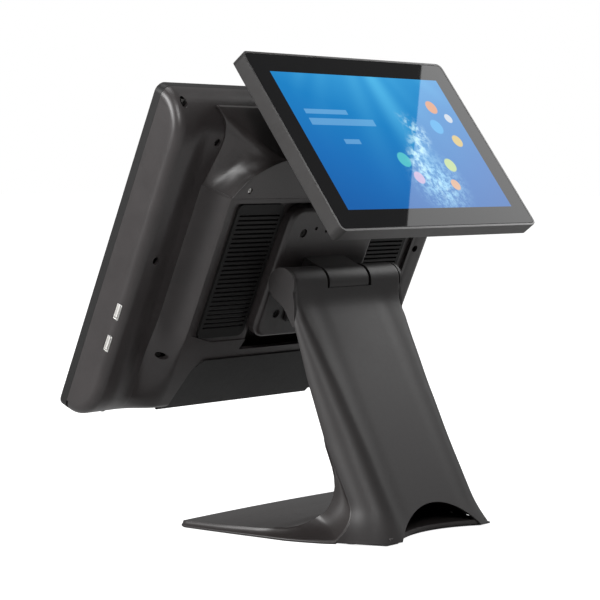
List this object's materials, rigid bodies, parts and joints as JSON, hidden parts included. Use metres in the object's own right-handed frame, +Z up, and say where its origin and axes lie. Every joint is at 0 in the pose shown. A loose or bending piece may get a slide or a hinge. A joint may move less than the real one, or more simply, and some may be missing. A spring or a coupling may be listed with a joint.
{
  "type": "pos touchscreen terminal",
  "caption": "Counter-top touchscreen terminal on a tilting neck and heavy base, with a smaller customer-facing display hinged to the rear of its head.",
  "frame": {"origin": "on the floor, midway between the foremost and rearmost points and on the middle plane", "axes": "+Z up, +X to the operator's right hand when they face the main screen, +Y out of the back towards the customer"},
  "size_m": [0.372, 0.2586, 0.3908],
  "materials": {
    "shell": "fine grained dark grey moulding",
    "shell_inner": "plain black moulding",
    "casting": "dark grey textured powder paint",
    "glass": "polished cover glass with a black printed border",
    "panel": "lit liquid crystal panel",
    "steel": "zinc plated steel",
    "aluminium": "extruded, plain",
    "board": "solder-masked circuit board",
    "rubber": "soft black rubber",
    "iron": "black painted plate"
  },
  "bodies": {
    "stand": {"stand_casting": "casting", "base_bottom_cover": "shell_inner", "base_ballast": "iron", "rubber_feet": "rubber", "bottom_screws": "steel", "neck_rear_cover": "shell", "neck_cover_screws": "steel", "hinge_cap_left": "shell", "hinge_cap_right": "shell", "hinge_bracket_left": "steel", "hinge_bracket_right": "steel", "hinge_shaft": "steel", "friction_washers": "steel", "shaft_nuts": "steel"},
    "head": {"front_frame": "shell", "touch_glass": "glass", "lcd_panel": "panel", "chassis_plate": "steel", "rear_cover": "shell", "vent_frame": "shell", "vent_grille_left": "shell_inner", "vent_grille_right": "shell_inner", "hood_cover": "shell", "connector_bay_cover": "shell", "rear_connectors": "shell_inner", "mainboard": "board", "heat_sink": "aluminium", "memory_module": "board", "solid_state_drive": "aluminium", "touch_controller": "board", "wireless_antenna": "board", "speaker_left": "shell_inner", "speaker_right": "shell_inner", "usb_port_upper": "steel", "usb_port_lower": "steel", "mount_plate": "shell", "mount_plate_screws": "steel", "hinge_knuckle": "casting", "case_screws": "steel", "hood_screws": "steel", "flank_screws": "steel", "display_arm": "shell", "display_arm_screws": "steel", "display_hinge_pin": "steel"},
    "customer_display": {"display_rear_case": "shell", "display_front_glass": "glass", "display_lcd": "panel", "display_driver_board": "board", "display_hinge_ears": "shell", "display_case_screws": "steel"},
    "power_button": {"power_button": "shell_inner"}
  },
  "joints": [
    {"name": "head_tilt", "type": "hinge", "parent": "stand", "child": "head", "pos_m": [0, 0.01521, 0.2035], "axis": [1, 0, 0], "range_deg": [-45, 15]},
    {"name": "display_tilt", "type": "hinge", "parent": "head", "child": "customer_display", "pos_m": [0, 0.05747, 0.30616], "axis": [1, 0, 0], "range_deg": [-10, 8]},
    {"name": "power_button_press", "type": "slide", "parent": "head", "child": "power_button", "axis": [0, 0.4099, 0.9121], "range_m": [0, 0.0012], "stiffness_N_per_m": 200}
  ]
}
